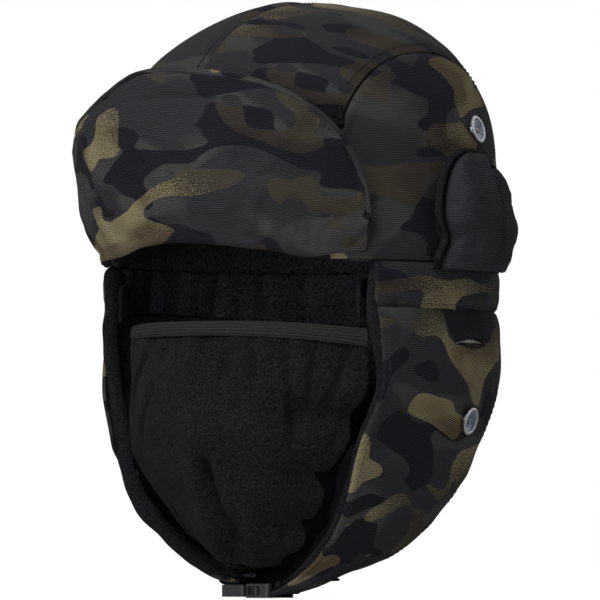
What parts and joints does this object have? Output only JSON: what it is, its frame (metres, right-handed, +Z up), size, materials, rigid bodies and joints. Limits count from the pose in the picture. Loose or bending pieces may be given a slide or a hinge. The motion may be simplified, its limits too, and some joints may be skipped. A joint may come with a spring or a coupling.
{
  "type": "trapper hat",
  "caption": "Insulated hat with turned-up front flap, buckled ear flaps, fold-down ear covers and a hinged face mask.",
  "frame": {"origin": "centre of the head opening, at the seam between crown and band", "axes": "+Z up towards the top of the crown, -Y towards the face, +X towards the wearer's left"},
  "size_m": [0.2028, 0.2236, 0.2797],
  "materials": {
    "printed_cloth": "brushed ribbed polyester, camouflage print",
    "plain_cloth": "brushed ribbed polyester, plain dark grey",
    "fleece": "matt fleece",
    "elastic": "ribbed elastic, heathered",
    "batting": "soft polyester batting",
    "hook_and_loop": "matt hook-and-loop",
    "webbing": "flat woven webbing",
    "plastic": "matt moulded acetal",
    "metal": "satin nickel plate"
  },
  "bodies": {
    "hat": {"crown_top_left": "printed_cloth", "crown_top_right": "printed_cloth", "crown_side_left": "printed_cloth", "crown_side_right": "printed_cloth", "crown_lining": "fleece", "brow_binding": "fleece", "side_band": "printed_cloth", "band_lining": "fleece", "nape_curtain": "printed_cloth", "nape_lining": "fleece", "nape_elastic": "elastic", "crown_patches": "hook_and_loop", "upper_buttons": "metal", "upper_button_tacks": "metal", "mask_studs": "metal"},
    "front_flap": {"flap_facing": "printed_cloth", "flap_padding": "batting", "flap_backing": "fleece", "flap_patches": "hook_and_loop"},
    "ear_cover_left": {"ear_cover_face_left": "plain_cloth", "ear_cover_padding_left": "batting", "ear_cover_back_left": "fleece", "ear_cover_loop_left": "elastic"},
    "ear_cover_right": {"ear_cover_face_right": "plain_cloth", "ear_cover_padding_right": "batting", "ear_cover_back_right": "fleece", "ear_cover_loop_right": "elastic"},
    "ear_flap_left": {"ear_flap_shell_left": "printed_cloth", "ear_flap_lining_left": "fleece", "ear_flap_edge_left": "fleece", "lower_button_left": "metal", "lower_button_tack_left": "metal", "chin_strap_left": "webbing", "buckle_female": "plastic"},
    "ear_flap_right": {"ear_flap_shell_right": "printed_cloth", "ear_flap_lining_right": "fleece", "ear_flap_edge_right": "fleece", "lower_button_right": "metal", "lower_button_tack_right": "metal", "chin_strap_right": "webbing"},
    "buckle_tongue": {"buckle_male": "plastic"},
    "mask": {"mask_panel": "fleece", "mask_top_band": "elastic", "mask_sockets": "plastic"}
  },
  "joints": [
    {"name": "front_flap_fold", "type": "hinge", "parent": "hat", "child": "front_flap", "pos_m": [0, -0.114, 0.004], "axis": [1, 0, 0], "range_deg": [0, 130]},
    {"name": "ear_cover_left_fold", "type": "hinge", "parent": "hat", "child": "ear_cover_left", "pos_m": [0.097, 0.012, 0], "axis": [0, -1, 0], "range_deg": [-175, 0]},
    {"name": "ear_cover_right_fold", "type": "hinge", "parent": "hat", "child": "ear_cover_right", "pos_m": [-0.097, 0.012, 0], "axis": [0, 1, 0], "range_deg": [-175, 0]},
    {"name": "ear_flap_left_swing", "type": "hinge", "parent": "hat", "child": "ear_flap_left", "pos_m": [0.0876, 0, -0.0213], "axis": [0, -1, 0], "range_deg": [0, 80]},
    {"name": "ear_flap_right_swing", "type": "hinge", "parent": "hat", "child": "ear_flap_right", "pos_m": [-0.0876, 0, -0.0213], "axis": [0, 1, 0], "range_deg": [0, 80]},
    {"name": "mask_swing", "type": "hinge", "parent": "hat", "child": "mask", "pos_m": [0, -0.051, -0.0125], "axis": [-1, 0, 0], "range_deg": [0, 20]},
    {"name": "buckle_release", "type": "slide", "parent": "ear_flap_left", "child": "buckle_tongue", "axis": [-1, 0, 0], "range_m": [0, 0.009]}
  ]
}
